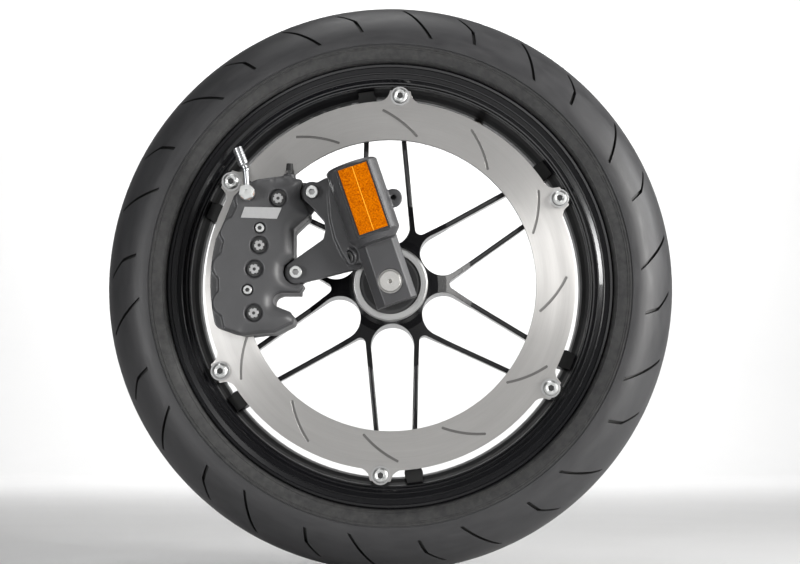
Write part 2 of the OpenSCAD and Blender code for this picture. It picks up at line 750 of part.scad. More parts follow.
module pad_lining(side) {
    near = rotor_d + side * (rotor_t / 2 + pad_gap);
    rear = near + side * lining_t;
    gap_a = 0.7;
    mid_a = (piston_a[1] + piston_a[2]) / 2;
    color([0.32, 0.27, 0.24]) facing() slab(min(near, rear), max(near, rear)) {
        sector(pad_in + 1, pad_out - 1, pad_a0 + 1, mid_a - gap_a);
        sector(pad_in + 1, pad_out - 1, mid_a + gap_a, pad_a1 - 1);
    }
}
module pad_lining_outer() { pad_lining(1); }
module pad_lining_inner() { pad_lining(-1); }

// flanged bolts with a six-lobed head, low in their counterbores
module bridge_bolts() {
    flange_r = 7.2;
    flange_t = 1.4;
    lobe_r = 5.1;
    lobe_w = 3;
    head_t = 5;
    seat = caliper_face - bolt_seat_drop;
    color([0.5, 0.5, 0.5]) facing() for (p = bridge_bolts) at(p) difference() {
        union() {
            slab(inner_face + 6, seat) circle(m8_r);
            slab(seat, seat + flange_t) circle(flange_r);
            slab(seat + flange_t, seat + head_t) circle(lobe_r - 0.9);
            for (k = [0:2]) rotate([0, 0, k * 60 + 10]) translate([-lobe_r, -lobe_w / 2, seat + flange_t])
                cube([2 * lobe_r, lobe_w, head_t - flange_t - 0.3]);
        }
        slab(seat + head_t - 1.4, seat + head_t + 1) circle(1.7);
    }
}

module pad_pins() {
    seat = caliper_face - pin_seat_drop;
    color([0.78, 0.79, 0.79]) facing() for (p = pad_pins) at(p)
        socket_screw(4.7, seat, seat + 4.4, inner_face + 5, pin_r, 4);
}

module mount_bolts() {
    color([0.78, 0.79, 0.79]) facing() for (p = [upper_lug, lower_lug]) at(p) {
        socket_screw(6.5, lug_front, lug_front + 8, rotor_d + 3, m8_r, 6);
    }
}

module badge_plate() {
    color([0.7, 0.7, 0.7]) facing() slab(caliper_face, caliper_face + 0.8)
        polygon([[-148.9, 76.8], [-111, 75.9], [-115.9, 64.5], [-152.8, 65.7]]);
}

// ---------- hydraulic fittings ----------

module banjo_bolt() {
    seat = caliper_face + 12.2;
    color([0.8, 0.8, 0.8]) facing() at(hose_port) difference() {
        union() {
            slab(seat, seat + 6) rotate(fork_tilt) hex(14);
            slab(seat + 6, seat + 7) circle(5.6);
            slab(caliper_face - 9, seat) circle(4.95);
        }
        slab(seat + 4, seat + 8) circle(2);
    }
}

module crush_washers() {
    color([0.72, 0.45, 0.3]) facing() at(hose_port) {
        tube(7.4, 5.05, caliper_face + 1.85, caliper_face + 2.95);
        tube(7.4, 5.05, caliper_face + 11.05, caliper_face + 12.15);
    }
}

module banjo_fitting() {
    eye_r = 8;
    mid = caliper_face + 7;
    bend = [-147.6, 114];
    lean = 20.8;
    color([0.74, 0.75, 0.76]) facing() {
        at(hose_port) tube(eye_r, 5.05, caliper_face + 3, caliper_face + 11);
        difference() {
            translate([hose_port[0], hose_port[1], mid])
                rotate([-90, 0, atan2(hose_port[0] - bend[0], bend[1] - hose_port[1])])
                    translate([0, 0, eye_r - 1.2])
                        cylinder(h = norm(bend - hose_port) - eye_r + 1.2, r = 3);
            at(hose_port) slab(mid - 5, mid + 5) circle(5.05);
        }
        translate([bend[0], bend[1], mid]) sphere(3.4);
        difference() {
            translate([bend[0], bend[1], mid]) rotate([-90, 0, lean]) union() {
                cylinder(h = 6, r = 3);
                translate([0, 0, 4]) cylinder(h = 2, r1 = 3.4, r2 = 4.7);
                translate([0, 0, 6]) cylinder(h = 18, r = 4.7);
                for (z = [8:3:20]) translate([0, 0, z]) cylinder(h = 1.4, r = 5.1);
            }
            translate([bend[0], bend[1], mid]) rotate([-90, 0, lean])
                translate([0, 0, 9]) cylinder(h = 20, r = 3.2);
        }
    }
}

module bleed_screw() {
    color([0.75, 0.75, 0.74]) facing() translate(bleed_port) rotate([-90, 0, 0]) difference() {
        union() {
            translate([0, 0, 4]) cylinder(h = 9.2, r = 2.98);
            translate([0, 0, 13.2]) linear_extrude(3.4) hex(8);
            translate([0, 0, 16.6]) cylinder(h = 5, r = 2.3);
        }
        translate([0, 0, 10]) cylinder(h = 20, r = 0.8);
    }
}

module bleed_cap() {
    color([0.07, 0.07, 0.07]) facing() translate(bleed_port) rotate([-90, 0, 0]) difference() {
        translate([0, 0, 16.7]) cylinder(h = 7, r1 = 3.9, r2 = 3.3);
        translate([0, 0, 16]) cylinder(h = 5.7, r = 2.33);
    }
}

// ---------- valve and weights ----------

// z runs from the rim well toward the axle
module valve_frame() {
    rotate([0, 0, 62.05]) translate([well_r, 0, 0]) rotate([0, -90, 0]) children();
}

module valve_stem() {
    seat = well_r - well_outer_r;
    color([0.78, 0.62, 0.3]) facing() valve_frame() {
        slab(seat - 1.5, seat - 0.1) circle(6.5);
        tube(4, 1.6, seat - 0.2, 22);
        tube(3.2, 1.6, 22, 30);
    }
}

module valve_nut() {
    color([0.75, 0.75, 0.75]) facing() valve_frame() slab(0.7, 5) difference() {
        hex(11);
        circle(4.03);
    }
}

module valve_cap() {
    color([0.06, 0.06, 0.06]) facing() valve_frame() difference() {
        union() {
            slab(24, 32) circle(4.6);
            translate([0, 0, 32]) cylinder(h = 1.6, r1 = 4.6, r2 = 3.4);
        }
        slab(23, 31) circle(3.23);
    }
}

module balance_weights() {
    count = 4;
    color([0.55, 0.55, 0.56]) facing() for (k = [0:count - 1])
        slab(-9.5, -0.5) intersection() {
            difference() { circle(well_r); circle(well_r - 3.6); }
            wedge(102 + k * 4.4, 105.8 + k * 4.4);
        }
}

tyre();
wheel_rim();
rim_bosses();
wheel_spokes();
wheel_hub();
brake_rotor();
rotor_bobbins();
rotor_wave_washers();
rotor_bolts();
bearing_outer_near();
bearing_outer_far();
bearing_inner_near();
bearing_inner_far();
bearing_balls_near();
bearing_balls_far();
dust_seal_near();
dust_seal_far();
valve_stem();
valve_nut();
valve_cap();
balance_weights();
axle();
axle_spacer_near();
axle_spacer_far();
bearing_spacer();
fork_foot_near();
fork_foot_far();
foot_bolt_near();
pinch_bolts_far();
reflector_bases();
reflector_lenses();
caliper_outer();
caliper_inner();
bridge_bolts();
pad_pins();
piston_seals();
pistons_outer();
pistons_inner();
pad_backing_outer();
pad_lining_outer();
pad_backing_inner();
pad_lining_inner();
mount_bolts();
banjo_bolt();
crush_washers();
banjo_fitting();
bleed_screw();
bleed_cap();
badge_plate();
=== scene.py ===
"""Looks for the motorcycle front wheel with its perimeter brake and axle end.

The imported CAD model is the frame. The tyre gets its tread here, the castings get rounded
edges, and every piece gets a procedural material. Metres, +Z up, the wheel turns about Y.
"""

import json
import math

import bmesh
import bpy
import numpy as np
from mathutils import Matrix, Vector
from mathutils.bvhtree import BVHTree


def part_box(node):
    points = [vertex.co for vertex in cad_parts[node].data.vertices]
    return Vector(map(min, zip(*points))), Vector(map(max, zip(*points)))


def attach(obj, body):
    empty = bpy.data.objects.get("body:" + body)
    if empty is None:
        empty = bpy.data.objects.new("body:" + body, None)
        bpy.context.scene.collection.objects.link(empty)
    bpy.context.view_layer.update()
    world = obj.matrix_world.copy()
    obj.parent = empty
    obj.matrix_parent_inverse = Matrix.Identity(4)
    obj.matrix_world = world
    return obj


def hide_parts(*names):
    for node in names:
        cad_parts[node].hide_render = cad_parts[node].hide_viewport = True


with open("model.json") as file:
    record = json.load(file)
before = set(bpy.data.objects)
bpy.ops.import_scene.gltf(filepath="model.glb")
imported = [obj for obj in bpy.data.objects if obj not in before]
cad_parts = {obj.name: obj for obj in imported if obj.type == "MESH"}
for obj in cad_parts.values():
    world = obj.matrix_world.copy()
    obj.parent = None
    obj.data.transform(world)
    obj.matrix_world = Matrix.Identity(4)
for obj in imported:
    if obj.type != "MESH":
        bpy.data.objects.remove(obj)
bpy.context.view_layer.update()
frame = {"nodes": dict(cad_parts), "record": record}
NODES = frame["nodes"]
BODY_OF = {n: b for b, ns in frame["record"]["behaviour"]["bodies"].items() for n in ns}
MM = 0.001

# the tyre's outside: radius and half width from the frame, the tread's edge below its crown
TYRE_LOW, TYRE_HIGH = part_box("tyre")
FLOOR_Z = TYRE_LOW.z
TYRE_R = TYRE_HIGH.z
HALF_W = TYRE_HIGH.y
SHOULDER_R = 0.252
CROWN = TYRE_R - SHOULDER_R

RIM_COAT_FROM = 0.2092  # radius at which the rim's dull well ends and its gloss flanges begin
FORK_TILT = 18.7  # degrees that the fork legs lean back

BLACK_PAINT = (0.005, 0.005, 0.006)
SATIN_GREY = (0.051, 0.051, 0.054)
CALIPER_GREY = (0.066, 0.066, 0.069)
ZINC = (0.86, 0.87, 0.86)
STEEL = (0.60, 0.60, 0.60)
GROUND_STEEL = (0.66, 0.65, 0.63)


# ---------- camera ----------

def aim(obj, place, target=(0, 0, 0)):
    """Put an object at a place with its -Z axis toward the target."""
    obj.location = place
    obj.rotation_euler = (Vector(target) - Vector(place)).to_track_quat("-Z", "Y").to_euler()


def add_camera():
    """Beside the wheel on the brake side, low, looking slightly up at the hub."""
    cam = bpy.data.cameras.new("camera")
    cam.sensor_width = 36.0
    cam.lens = 84.6
    cam.shift_x = 0.0119
    cam.shift_y = 0.0073
    obj = bpy.data.objects.new("camera", cam)
    bpy.context.scene.collection.objects.link(obj)
    aim(obj, (0.0064, -2.0, -0.143))
    bpy.context.scene.camera = obj


add_camera()


# ---------- materials ----------

class Shader:
    """A Principled material with helpers for procedural detail in object coordinates."""

    def __init__(self, name, color, rough, metal=0.0, coat=0.0, coat_rough=0.1, spec=0.5):
        self.mat = bpy.data.materials.new(name)
        self.mat.use_nodes = True
        self.nt = self.mat.node_tree
        self.bsdf = self.nt.nodes["Principled BSDF"]
        self.bsdf.inputs["Base Color"].default_value = (*color, 1.0)
        self.bsdf.inputs["Roughness"].default_value = rough
        self.bsdf.inputs["Metallic"].default_value = metal
        self.bsdf.inputs["Coat Weight"].default_value = coat
        self.bsdf.inputs["Coat Roughness"].default_value = coat_rough
        self.bsdf.inputs["Specular IOR Level"].default_value = spec
        self.color = color
        self.rough = rough
        self.coords = self.node("ShaderNodeTexCoord").outputs["Object"]
        self.normal = None

    def node(self, kind, **values):
        made = self.nt.nodes.new(kind)
        for key, value in values.items():
            setattr(made, key, value)
        return made

    def link(self, a, b):
        self.nt.links.new(a, b)

    def feed(self, socket, value):
        """Drive one of the surface's own inputs."""
        self.link(value, self.bsdf.inputs[socket])

    def math(self, op, a, b=None, c=None):
        made = self.node("ShaderNodeMath", operation=op)
        for socket, value in zip(made.inputs, (a, b, c)):
            if value is None:
                continue
            if isinstance(value, (int, float)):
                socket.default_value = value
            else:
                self.link(value, socket)
        return made.outputs[0]

    def product(self, a, b):
        return self.math("MULTIPLY", a, b)

    def blend(self, a, share_a, b, share_b):
        """Sum of two patterns, each times its share."""
        return self.math("ADD", self.product(a, share_a), self.product(b, share_b))

    def noise(self, scale, detail=3.0, vector=None, stretch=None, rough=0.5):
        """Noise from 0 to 1; scale is in features per metre, or 1 with a stretch per axis."""
        made = self.node("ShaderNodeTexNoise")
        made.inputs["Scale"].default_value = scale
        made.inputs["Detail"].default_value = detail
        made.inputs["Roughness"].default_value = rough
        source = vector or self.coords
        if stretch:
            mapping = self.node("ShaderNodeMapping")
            mapping.inputs["Scale"].default_value = stretch
            self.link(source, mapping.inputs["Vector"])
            source = mapping.outputs["Vector"]
        self.link(source, made.inputs["Vector"])
        return made.outputs["Fac"]

    def spread(self, fac, low, high, a=0.0, b=1.0):
        """Map low..high to a..b, clamped."""
        made = self.node("ShaderNodeMapRange")
        made.inputs["From Min"].default_value = low
        made.inputs["From Max"].default_value = high
        made.inputs["To Min"].default_value = a
        made.inputs["To Max"].default_value = b
        self.link(fac, made.inputs["Value"])
        return made.outputs["Result"]

    def mix_color(self, fac, a, b):
        """Colour a where fac is 0, colour b where it is 1."""
        made = self.node("ShaderNodeMix", data_type="RGBA")
        self.link(fac, made.inputs["Factor"])
        colors = [s for s in made.inputs if s.type == "RGBA"]
        for socket, value in zip(colors, (a, b)):
            if isinstance(value, tuple):
                socket.default_value = (*value, 1.0)
            else:
                self.link(value, socket)
        return [s for s in made.outputs if s.type == "RGBA"][0]

    def vary_color(self, fac, darker=0.8, lighter=1.2):
        """Let the colour wander between a darker and a lighter tone."""
        low = tuple(c * darker for c in self.color)
        high = tuple(min(1.0, c * lighter) for c in self.color)
        self.feed("Base Color", self.mix_color(fac, low, high))

    def vary_rough(self, fac, swing):
        """Let the roughness wander by the swing to either side."""
        self.feed("Roughness", self.spread(fac, 0.25, 0.75, self.rough - swing, self.rough + swing))

    def bump(self, fac, depth_mm, strength=1.0):
        """Fine relief on top of whatever normal there is already."""
        made = self.node("ShaderNodeBump")
        made.inputs["Strength"].default_value = strength
        made.inputs["Distance"].default_value = depth_mm * MM
        self.link(fac, made.inputs["Height"])
        if self.normal is not None:
            self.link(self.normal, made.inputs["Normal"])
        self.normal = made.outputs["Normal"]
        self.feed("Normal", self.normal)

    def soft_edges(self, radius_mm):
        """Shade sharp edges as if they were broken by this radius."""
        made = self.node("ShaderNodeBevel", samples=4)
        made.inputs["Radius"].default_value = radius_mm * MM
        self.normal = made.outputs["Normal"]
        self.feed("Normal", self.normal)

    def axes(self, vector=None):
        """The X, Y and Z outputs of a vector, by default of the object coordinates."""
        parts = self.node("ShaderNodeSeparateXYZ")
        self.link(vector or self.coords, parts.inputs["Vector"])
        return parts.outputs

    def wheel_radius(self, axes):
        """Distance from the axle axis."""
        xx = self.product(axes["X"], axes["X"])
        zz = self.product(axes["Z"], axes["Z"])
        return self.math("SQRT", self.math("ADD", xx, zz))

    def ring_vector(self, radius, axes, around):
        """Coordinates that follow the turning direction: angle, radius, depth."""
        made = self.node("ShaderNodeCombineXYZ")
        angle = self.math("ARCTAN2", axes["Z"], axes["X"])
        self.link(self.product(angle, around), made.inputs["X"])
        self.link(radius, made.inputs["Y"])
        self.link(axes["Y"], made.inputs["Z"])
        return made.outputs["Vector"]


def cast_paint(name, color, rough, grain=900.0, depth=0.12, edge=0.0, spec=0.45, coat=0.15):
    """Satin paint over a cast surface."""
    s = Shader(name, color, rough, coat=coat, coat_rough=0.35, spec=spec)
    if edge:
        s.soft_edges(edge)
    s.vary_color(s.noise(35.0, 4.0), 0.82, 1.2)
    s.vary_rough(s.noise(120.0, 4.0), 0.06)
    s.bump(s.noise(grain, 2.0), depth)
    return s.mat


def gloss_paint(name, color, rough):
    """Thick gloss paint, faintly wavy, with wear in the roughness."""
    s = Shader(name, color, rough, coat=0.12, coat_rough=0.08, spec=0.4)
    s.soft_edges(0.8)
    s.vary_color(s.noise(18.0, 3.0), 0.75, 1.3)
    s.vary_rough(s.noise(60.0, 4.0), 0.05)
    s.bump(s.noise(160.0, 2.0), 0.03)
    return s.mat


def rim_paint(name):
    """Black rim: clear gloss coat on the flanges, plain dull paint inside the well."""
    s = Shader(name, (0.004, 0.004, 0.005), 0.3, coat=1.0, coat_rough=0.12, spec=0.1)
    s.soft_edges(0.5)
    s.feed("Coat Weight", s.math("GREATER_THAN", s.wheel_radius(s.axes()), RIM_COAT_FROM))
    s.vary_color(s.noise(18.0, 3.0), 0.75, 1.3)
    s.feed("Roughness", s.spread(s.noise(60.0, 4.0), 0.25, 0.75, 0.3, 0.4))
    s.bump(s.noise(160.0, 2.0), 0.03)
    return s.mat


def hub_paint(name):
    """Gloss paint with a bright machined face at each end of the barrel."""
    s = Shader(name, (0.014, 0.014, 0.016), 0.25, coat=0.0, spec=0.3)
    s.soft_edges(1.0)
    axes = s.axes()
    machined = 1.65 * MM
    face = abs(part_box("wheel_hub")[0].y) - machined
    end = s.math("GREATER_THAN", s.math("ABSOLUTE", axes["Y"]), face)
    ring = s.ring_vector(s.wheel_radius(axes), axes, 0.01)
    marks = s.noise(1.0, 3.0, ring, stretch=(20, 1400, 10))
    paint = s.mix_color(s.noise(18.0), (0.003, 0.003, 0.0035), (0.008, 0.008, 0.009))
    metal = s.mix_color(marks, (0.36, 0.36, 0.36), (0.68, 0.68, 0.67))
    s.feed("Base Color", s.mix_color(end, paint, metal))
    s.feed("Metallic", end)
    s.feed("Roughness", s.spread(end, 0.0, 1.0, 0.24, 0.36))
    s.bump(s.noise(160.0, 2.0), 0.03)
    return s.mat


def brushed_ring(name, color, rough):
    """Ground steel with fine lines round the axle and patches of polish; painted shade, a darker
    colour, on the groove floors and cut edges.
    """
    s = Shader(name, color, rough, metal=1.0)
    s.bsdf.inputs["Anisotropic"].default_value = 0.78
    s.bsdf.inputs["Anisotropic Rotation"].default_value = 0.25
    s.soft_edges(0.4)
    tangent = s.node("ShaderNodeTangent", direction_type="RADIAL", axis="Y")
    s.feed("Tangent", tangent.outputs["Tangent"])
    axes = s.axes()
    ring = s.ring_vector(s.wheel_radius(axes), axes, 0.16)
    fine = s.noise(1.0, 4.0, ring, stretch=(30, 3200, 10), rough=0.7)
    broad = s.noise(1.0, 3.0, ring, stretch=(7, 90, 4))
    both = s.blend(fine, 0.5, broad, 0.5)
    ground = s.mix_color(both, (0.38, 0.37, 0.36), (0.70, 0.69, 0.675))
    low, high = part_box("brake_rotor")
    skin = 0.2 * MM
    depth = s.math("ABSOLUTE", axes["Y"])
    below_face = s.math("LESS_THAN", depth, abs(low.y) - skin)
    above_back = s.math("GREATER_THAN", depth, abs(high.y) + skin)
    # painted shade: points between the disc's two faces, the groove floors and cut edges, get this
    # darker colour
    edge = s.mix_color(fine, (0.16, 0.155, 0.15), (0.30, 0.295, 0.29))
    s.feed("Base Color", s.mix_color(s.product(below_face, above_back), ground, edge))
    s.vary_rough(both, 0.09)
    s.bump(fine, 0.02, 0.7)
    return s.mat


def turned_metal(name, color, rough, metal=1.0):
    """Plated or turned small parts."""
    s = Shader(name, color, rough, metal=metal)
    s.soft_edges(0.35)
    s.vary_color(s.noise(260.0, 4.0), 0.93, 1.05)
    s.vary_rough(s.noise(500.0, 4.0), 0.05)
    s.bump(s.noise(500.0, 3.0), 0.002)
    return s.mat


def headed_bolts(name, node, rough=0.34, color=ZINC, skin=0.5, socket_shade=0.1):
    """Plated bolts: bright on each head's outer skin (mm), with painted shade, a flat grey, in the
    socket and down the side.
    """
    s = Shader(name, color, rough, metal=1.0)
    top = abs(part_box(node)[0].y) - skin * MM
    low = s.math("LESS_THAN", s.math("ABSOLUTE", s.axes()["Y"]), top)
    fleck = s.noise(260.0, 4.0)
    bright = s.mix_color(fleck, tuple(c * 0.93 for c in color), color)
    # painted shade: below the head's outer skin, in the socket and down the side, the colour is a
    # flat grey
    s.feed("Base Color", s.mix_color(low, bright, (socket_shade, socket_shade, socket_shade)))
    s.vary_rough(s.noise(500.0, 4.0), 0.05)
    s.soft_edges(0.3)
    s.bump(fleck, 0.002)
    return s.mat


def axle_face(name):
    """Turned steel with fine facing marks round the axle."""
    s = Shader(name, GROUND_STEEL, 0.4, metal=1.0)
    s.soft_edges(0.4)
    axes = s.axes()
    ring = s.ring_vector(s.wheel_radius(axes), axes, 0.02)
    marks = s.noise(1.0, 4.0, ring, stretch=(60, 2600, 5))
    both = s.blend(marks, 0.5, s.noise(1500.0, 3.0), 0.5)
    s.vary_color(both, 0.72, 1.2)
    s.vary_rough(both, 0.1)
    s.bump(both, 0.05)
    return s.mat


def soft_rubber(name, color, rough):
    """Matt rubber of seals and caps."""
    s = Shader(name, color, rough, spec=0.35)
    s.vary_color(s.noise(70.0, 4.0), 0.8, 1.25)
    s.vary_rough(s.noise(220.0, 3.0), 0.06)
    s.bump(s.noise(1400.0, 3.0), 0.08)
    return s.mat


def tyre_rubber(name):
    """Satin tread with painted shade, a near-black colour, in the grooves, and a duller moulded band
    on the lower sidewall.
    """
    s = Shader(name, (0.042, 0.042, 0.044), 0.5, spec=0.42)
    axes = s.axes()
    radius = s.wheel_radius(axes)
    band = s.math("LESS_THAN", radius, SHOULDER_R - 2.0 * MM)
    scuff = s.noise(1.0, 4.0, s.ring_vector(radius, axes, 0.25), stretch=(40, 160, 60))
    tread = s.mix_color(scuff, (0.025, 0.025, 0.027), (0.050, 0.050, 0.052))
    mottle = s.spread(s.noise(150.0, 5.0, rough=0.65), 0.35, 0.65)
    wall = s.mix_color(mottle, (0.022, 0.022, 0.023), (0.042, 0.042, 0.0415))
    # how far out a point lies in the crown's ellipse: 1 on the tread, less down in a groove
    crown = s.math("DIVIDE", s.math("SUBTRACT", radius, SHOULDER_R), CROWN)
    across = s.math("DIVIDE", axes["Y"], HALF_W)
    level = s.math("ADD", s.product(crown, crown), s.product(across, across))
    above = s.math("GREATER_THAN", radius, SHOULDER_R + 1.5 * MM)
    # painted shade: the groove floors, sunk below the crown's surface, get a near-black colour
    groove_shade = s.product(above, s.spread(level, 0.985, 0.955))
    skin = s.mix_color(band, tread, wall)
    s.feed("Base Color", s.mix_color(groove_shade, skin, (0.006, 0.006, 0.006)))
    worn = s.spread(scuff, 0.3, 0.7, 0.42, 0.54)
    s.feed("Roughness", s.math("ADD", worn, s.product(band, 0.1)))
    s.bump(s.noise(1800.0, 3.0), 0.05)
    return s.mat


def amber_lens(name):
    """Amber prism plastic: crossed rows of small cells with painted glints and shade in the colour,
    and a seam along the middle.
    """
    s = Shader(name, (0.80, 0.18, 0.0), 0.4, spec=0.02)
    cell, seam_half = 2.7 * MM, 0.4 * MM
    low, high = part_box("reflector_lenses")
    place = s.node("ShaderNodeMapping", vector_type="TEXTURE")
    place.inputs["Location"].default_value = ((low.x + high.x) / 2, 0.0, (low.z + high.z) / 2)
    place.inputs["Rotation"].default_value = (0.0, -math.radians(FORK_TILT), 0.0)
    s.link(s.coords, place.inputs["Vector"])
    axes = s.axes(place.outputs["Vector"])
    across, along = axes["X"], axes["Z"]
    turns = 2 * math.pi / cell
    left = s.math("SINE", s.product(s.math("ADD", across, along), turns))
    right = s.math("SINE", s.product(s.math("SUBTRACT", across, along), turns))
    prism = s.math("MULTIPLY_ADD", s.product(left, right), 0.22, 0.5)
    grain = s.blend(prism, 0.35, s.noise(680.0, 4.0, rough=0.8), 0.6)
    grain = s.blend(grain, 1.0, s.noise(110.0, 2.0), 0.05)
    # painted glints and shade: the colour swings between dark and bright amber with the prism cells
    # and a fine random speckle
    prism_glints = s.mix_color(s.spread(grain, 0.38, 0.62), (0.25, 0.03, 0.0), (0.80, 0.225, 0.0))
    seam = s.math("LESS_THAN", s.math("ABSOLUTE", across), seam_half)
    s.feed("Base Color", s.mix_color(seam, prism_glints, (1.0, 0.42, 0.03)))
    s.bump(prism, 0.12)
    return s.mat


def plain_plastic(name, color, rough):
    """Moulded plastic of bases and caps."""
    s = Shader(name, color, rough)
    s.vary_color(s.noise(90.0), 0.8, 1.3)
    s.vary_rough(s.noise(400.0), 0.05)
    s.bump(s.noise(1200.0), 0.03)
    return s.mat


def node_materials():
    """One material for every CAD node."""
    gloss = gloss_paint("wheel_gloss_black", BLACK_PAINT, 0.2)
    bearing = turned_metal("bearing_steel", (0.62, 0.62, 0.63), 0.15)
    seal = soft_rubber("seal_rubber", (0.035, 0.035, 0.036), 0.6)
    spacer = turned_metal("anodised_spacer", (0.06, 0.06, 0.062), 0.35, metal=0.8)
    foot = cast_paint("foot_satin_grey", SATIN_GREY, 0.42, grain=700.0, depth=0.06)
    caliper = cast_paint("caliper_satin_grey", CALIPER_GREY, 0.46, grain=1000.0, depth=0.1)
    zinc = turned_metal("zinc_plate", ZINC, 0.36)
    dark = turned_metal("black_oxide", (0.10, 0.10, 0.10), 0.38)
    plastic = plain_plastic("black_plastic", (0.02, 0.02, 0.02), 0.4)
    piston = turned_metal("piston_plate", (0.66, 0.66, 0.64), 0.2)
    backing = cast_paint("pad_plate_black", (0.03, 0.03, 0.03), 0.5)
    lining = cast_paint("pad_lining", (0.14, 0.115, 0.10), 0.8, depth=0.25)
    boss = cast_paint("boss_black", (0.012, 0.012, 0.012), 0.45, edge=0.8, spec=0.3, coat=0.0)
    bridge = headed_bolts("bridge_bolt_steel", "bridge_bolts", 0.4, STEEL, skin=1.0)
    made = {
        "tyre": tyre_rubber("tyre_rubber"),
        "wheel_rim": rim_paint("rim_gloss_black"),
        "rim_bosses": boss,
        "wheel_spokes": gloss,
        "wheel_hub": hub_paint("hub_paint"),
        "brake_rotor": brushed_ring("rotor_ground_steel", GROUND_STEEL, 0.36),
        "rotor_bobbins": turned_metal("bobbin_steel", STEEL, 0.32),
        "rotor_wave_washers": turned_metal("spring_steel", (0.42, 0.42, 0.42), 0.35),
        "rotor_bolts": headed_bolts("rotor_bolt_zinc", "rotor_bolts", skin=1.4),
        "dust_seal_near": seal, "dust_seal_far": seal,
        "valve_stem": turned_metal("valve_brass", (0.3, 0.25, 0.17), 0.4),
        "valve_nut": turned_metal("nut_plate", STEEL, 0.3),
        "valve_cap": plastic,
        "balance_weights": turned_metal("zinc_weight", (0.45, 0.45, 0.46), 0.5),
        "axle": axle_face("axle_steel"),
        "axle_spacer_near": spacer, "axle_spacer_far": spacer,
        "bearing_spacer": turned_metal("plain_tube", (0.5, 0.5, 0.5), 0.4),
        "fork_foot_near": foot, "fork_foot_far": foot,
        "foot_bolt_near": turned_metal("foot_bolt_black", (0.22, 0.22, 0.22), 0.3),
        "pinch_bolts_far": zinc,
        "reflector_bases": plastic,
        "reflector_lenses": amber_lens("amber_prism"),
        "caliper_outer": caliper, "caliper_inner": caliper,
        "bridge_bolts": bridge,
        "pad_pins": headed_bolts("pin_zinc", "pad_pins"),
        "piston_seals": seal,
        "pistons_outer": piston, "pistons_inner": piston,
        "pad_backing_outer": backing, "pad_backing_inner": backing,
        "pad_lining_outer": lining, "pad_lining_inner": lining,
        "mount_bolts": headed_bolts("mount_bolt_zinc", "mount_bolts", socket_shade=0.4),
        "banjo_bolt": zinc,
        "crush_washers": turned_metal("copper_washer", (0.62, 0.33, 0.21), 0.35),
        "banjo_fitting": turned_metal("fitting_steel", (0.40, 0.41, 0.42), 0.3),
        "bleed_screw": dark,
        "bleed_cap": soft_rubber("cap_rubber", (0.02, 0.02, 0.02), 0.55),
        "badge_plate": turned_metal("blank_plate", (0.66, 0.66, 0.66), 0.35),
    }
    for side in ("near", "far"):
        for kind in ("outer", "inner", "balls"):
            made[f"bearing_{kind}_{side}"] = bearing
    return made


MATERIALS = node_materials()


def paint(mesh, material):
    mesh.materials.clear()
    mesh.materials.append(material)


for node_name, node_obj in NODES.items():
    paint(node_obj.data, MATERIALS[node_name])


def shade_smooth(mesh):
    mesh.polygons.foreach_set("use_smooth", [True] * len(mesh.polygons))


def replace_node(name, mesh, node):
    """Show this mesh in place of the node's own; it rides with the same body."""
    obj = bpy.data.objects.new(name, mesh)
    bpy.context.scene.collection.objects.link(obj)
    paint(mesh, MATERIALS[node])
    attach(obj, BODY_OF[node])
    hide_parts(node)


# ---------- tyre ----------

# The tread is a band of rings, each at one crown angle: 0 at the middle, 90 at the shoulder.
# A ring's points stand in columns, and the columns bend along with the grooves.

PITCHES = 14
PITCH = 2 * math.pi / PITCHES
PLAIN_COLS = 4
COLS = 2 * (6 + PLAIN_COLS)
POINTS = PITCHES * COLS
LAST_ROW = 89.0
EVEN_UNTIL = 26.0

GROOVE_HALF = 1.9
GROOVE_FLOOR_HALF = 1.35
GROOVE_LIP = 0.5
GROOVE_LEAD = 1.6
GROOVE_DEPTH = 4.6
GROOVE_RISE = 2.0


def smooth_step(x):
    x = min(1.0, max(0.0, x))
    return x * x * (3 - 2 * x)


def lateral(mm):
    """Crown angle at which the tread reaches this distance from the middle."""
    return math.degrees(math.asin(mm * MM / HALF_W))


# where a groove starts and ends, the degrees round the wheel at which it stands, and how many
# degrees it has turned by each share of its length
SLASH = {"start": lateral(31), "end": lateral(59.1), "at": 36.0, "turn": ((0, 0), (1, -6.9))}
DOGLEG = {"start": lateral(33), "end": lateral(57.5), "at": 24.3,
          "turn": ((0, 0), (0.52, -3.8), (1, -5.1))}


def groove_share(groove, a):
    """Share of the groove's length that lies before crown angle a."""
    return (a - groove["start"]) / (groove["end"] - groove["start"])


def groove_angle(groove, a):
    """Angle of a groove's centreline, in degrees, at crown angle a."""
    f = min(1.0, max(0.0, groove_share(groove, a)))
    points = groove["turn"]
    for (f0, v0), (f1, v1) in zip(points, points[1:]):
        if f <= f1:
            return groove["at"] + v0 + (v1 - v0) * (f - f0) / (f1 - f0)
    return groove["at"] + points[-1][1]


def groove_depth(groove, a):
    """Depth in metres at crown angle a: quick ends, shallower toward the shoulder."""
    if a <= groove["start"] or a >= groove["end"]:
        return 0.0
    ends = min(1.0, (a - groove["start"]) / GROOVE_LEAD, (groove["end"] - a) / GROOVE_LEAD)
    return ends * (GROOVE_DEPTH - GROOVE_RISE * groove_share(groove, a)) * MM


def fill_between(start, end):
    """Angles of the plain columns between two grooves."""
    return [start + (end - start) * (i + 1) / (PLAIN_COLS + 1) for i in range(PLAIN_COLS)]


